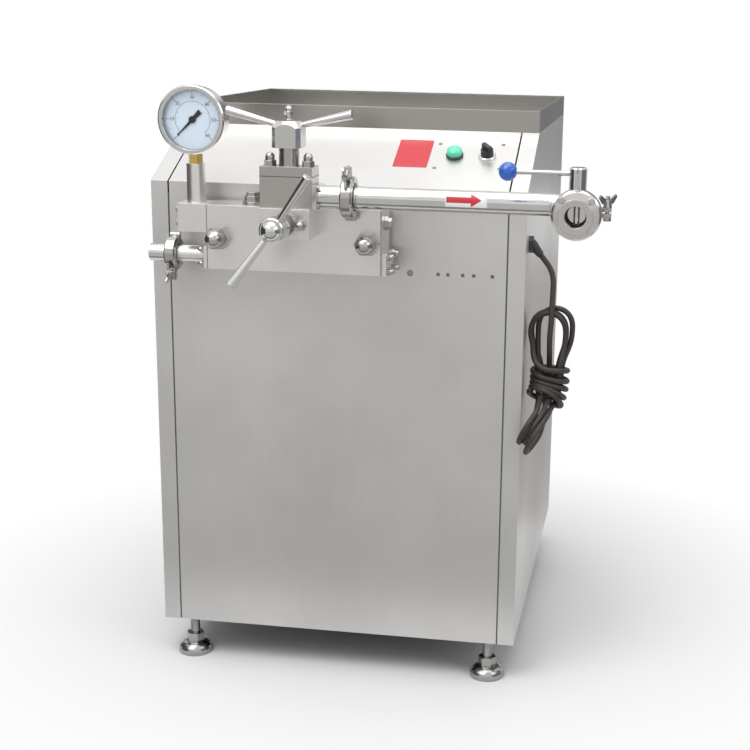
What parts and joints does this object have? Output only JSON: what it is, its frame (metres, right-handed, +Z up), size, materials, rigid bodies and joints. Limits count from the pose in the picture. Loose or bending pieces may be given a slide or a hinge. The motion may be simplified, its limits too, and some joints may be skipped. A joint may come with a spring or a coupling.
{
  "type": "dairy homogenizer",
  "caption": "Floor-standing dairy homogenizer: stainless cabinet with a sloped console, plunger pump head, staged screw valve, gauge and clamped outlet pipe with a lever valve.",
  "frame": {"origin": "floor point under the middle of the whole machine without its cord", "axes": "+X to the machine's right as seen from its front, +Y to its rear, +Z up"},
  "size_m": [0.765, 0.9675, 0.998],
  "materials": {
    "panel_steel": "satin brushed stainless sheet",
    "machined_steel": "fine machined stainless",
    "polished_steel": "polished",
    "frame_paint": "satin paint",
    "drive_paint": "satin paint",
    "shaft_steel": "ground",
    "pulley_iron": "machined cast iron",
    "belt_rubber": "matt",
    "gland_bronze": "machined",
    "coupling_brass": "machined",
    "seal_rubber": "smooth",
    "dial_face": "matt printed dial",
    "gauge_glass": "clear",
    "pointer_black": "matt",
    "ball_blue": "gloss",
    "lens_green": "translucent gloss",
    "switch_black": "satin",
    "cord_rubber": "satin"
  },
  "bodies": {
    "machine": {"frame_rails": "frame_paint", "frame_posts": "frame_paint", "front_panel": "panel_steel", "left_side_panel": "panel_steel", "right_side_panel": "panel_steel", "rear_panel": "panel_steel", "top_tray": "panel_steel", "motor_body": "drive_paint", "drive_belts": "belt_rubber", "crankshaft_bearings": "drive_paint", "crankcase": "drive_paint", "packing_glands": "gland_bronze", "cylinder_block": "machined_steel", "pump_head": "machined_steel", "dome_nuts": "polished_steel", "small_nuts": "polished_steel", "suction_flanges": "machined_steel", "inlet_pipe": "polished_steel", "gauge_block": "machined_steel", "gauge_coupling": "coupling_brass", "gauge_case": "polished_steel", "gauge_dial": "dial_face", "gauge_glass": "gauge_glass", "first_stage_body": "machined_steel", "second_stage_body": "machined_steel", "valve_caps": "machined_steel", "discharge_stub": "polished_steel", "outlet_pipe": "polished_steel", "pipe_clamps": "polished_steel", "pipe_seals": "seal_rubber", "outlet_valve_body": "polished_steel", "pilot_lamp": "lens_green", "console_bezels": "polished_steel", "cord_gland": "switch_black", "power_cord": "cord_rubber", "cord_hank": "cord_rubber"},
    "front_left_levelling_foot": {"front_left_foot": "polished_steel"},
    "front_right_levelling_foot": {"front_right_foot": "polished_steel"},
    "rear_left_levelling_foot": {"rear_left_foot": "polished_steel"},
    "rear_right_levelling_foot": {"rear_right_foot": "polished_steel"},
    "motor_rotor": {"motor_shaft": "shaft_steel", "motor_pulley": "pulley_iron"},
    "crank": {"crankshaft": "shaft_steel", "drive_pulley": "pulley_iron"},
    "left_plunger": {"plunger_1": "polished_steel"},
    "middle_plunger": {"plunger_2": "polished_steel"},
    "right_plunger": {"plunger_3": "polished_steel"},
    "gauge_needle": {"gauge_pointer": "pointer_black"},
    "first_stage_screw": {"first_stage_rod": "polished_steel"},
    "first_stage_grip": {"first_stage_handle": "polished_steel"},
    "second_stage_screw": {"second_stage_rod": "polished_steel"},
    "second_stage_grip": {"second_stage_handle": "polished_steel"},
    "inlet_clamp_nut": {"inlet_wing_nut": "polished_steel"},
    "discharge_clamp_nut": {"discharge_wing_nut": "polished_steel"},
    "outlet_clamp_nut": {"outlet_wing_nut": "polished_steel"},
    "outlet_lever": {"outlet_valve_disc": "polished_steel", "outlet_valve_lever": "polished_steel", "lever_ball": "ball_blue"},
    "selector": {"selector_knob": "switch_black"}
  },
  "joints": [
    {"name": "front_left_foot_turn", "type": "hinge", "parent": "machine", "child": "front_left_levelling_foot", "pos_m": [-0.33554, -0.221, 0], "axis": [0, 0, 1], "continuous": true},
    {"name": "front_right_foot_turn", "type": "hinge", "parent": "machine", "child": "front_right_levelling_foot", "pos_m": [0.19046, -0.221, 0], "axis": [0, 0, 1], "continuous": true},
    {"name": "rear_left_foot_turn", "type": "hinge", "parent": "machine", "child": "rear_left_levelling_foot", "pos_m": [-0.33554, 0.454, 0], "axis": [0, 0, 1], "continuous": true},
    {"name": "rear_right_foot_turn", "type": "hinge", "parent": "machine", "child": "rear_right_levelling_foot", "pos_m": [0.19046, 0.454, 0], "axis": [0, 0, 1], "continuous": true},
    {"name": "crank_turn", "type": "hinge", "parent": "machine", "child": "crank", "pos_m": [0.10246, 0.0865, 0.763], "axis": [1, 0, 0], "continuous": true},
    {"name": "motor_turn", "type": "hinge", "parent": "machine", "child": "motor_rotor", "pos_m": [0.10246, 0.0865, 0.24], "axis": [1, 0, 0], "continuous": true},
    {"name": "left_plunger_stroke", "type": "slide", "parent": "machine", "child": "left_plunger", "axis": [0, 1, 0], "range_m": [0, 0.04]},
    {"name": "middle_plunger_stroke", "type": "slide", "parent": "machine", "child": "middle_plunger", "axis": [0, 1, 0], "range_m": [-0.03, 0.01]},
    {"name": "right_plunger_stroke", "type": "slide", "parent": "machine", "child": "right_plunger", "axis": [0, 1, 0], "range_m": [-0.03, 0.01]},
    {"name": "gauge_needle_turn", "type": "hinge", "parent": "machine", "child": "gauge_needle", "pos_m": [-0.28804, -0.3105, 0.944], "axis": [0, 1, 0], "range_deg": [0, 270], "stiffness_Nm_per_rad": 0.01},
    {"name": "first_stage_feed", "type": "slide", "parent": "machine", "child": "first_stage_screw", "axis": [0, 0, 1], "range_m": [-0.006, 0]},
    {"name": "first_stage_turn", "type": "hinge", "parent": "first_stage_screw", "child": "first_stage_grip", "pos_m": [-0.12054, -0.3485, 0.91], "axis": [0, 0, 1], "range_deg": [-1080, 0]},
    {"name": "second_stage_feed", "type": "slide", "parent": "machine", "child": "second_stage_screw", "axis": [0, -1, 0], "range_m": [-0.006, 0]},
    {"name": "second_stage_turn", "type": "hinge", "parent": "second_stage_screw", "child": "second_stage_grip", "pos_m": [-0.12054, -0.4155, 0.796], "axis": [0, -1, 0], "range_deg": [-1080, 0]},
    {"name": "inlet_clamp_nut_turn", "type": "hinge", "parent": "machine", "child": "inlet_clamp_nut", "pos_m": [-0.33004, -0.30207, 0.69447], "axis": [0, -0.9397, 0.342], "continuous": true},
    {"name": "discharge_clamp_nut_turn", "type": "hinge", "parent": "machine", "child": "discharge_clamp_nut", "pos_m": [-0.02654, -0.36286, 0.87647], "axis": [0, -0.9397, -0.342], "continuous": true},
    {"name": "outlet_clamp_nut_turn", "type": "hinge", "parent": "machine", "child": "outlet_clamp_nut", "pos_m": [0.36946, -0.4165, 0.837], "axis": [0, 0, 1], "continuous": true},
    {"name": "outlet_lever_turn", "type": "hinge", "parent": "machine", "child": "outlet_lever", "pos_m": [0.32746, -0.4505, 0.837], "axis": [0, 0, 1], "range_deg": [0, 90]},
    {"name": "selector_turn", "type": "hinge", "parent": "machine", "child": "selector", "pos_m": [0.15946, -0.14691, 0.88605], "axis": [0, -0.4303, 0.9027], "range_deg": [-90, 0]}
  ],
  "couplings": [
    {"joint": "motor_turn", "follows": "crank_turn", "ratio": 2.6364},
    {"joint": "first_stage_feed", "follows": "first_stage_turn", "m_per_rad": 0.00031831},
    {"joint": "second_stage_feed", "follows": "second_stage_turn", "m_per_rad": 0.00031831}
  ]
}
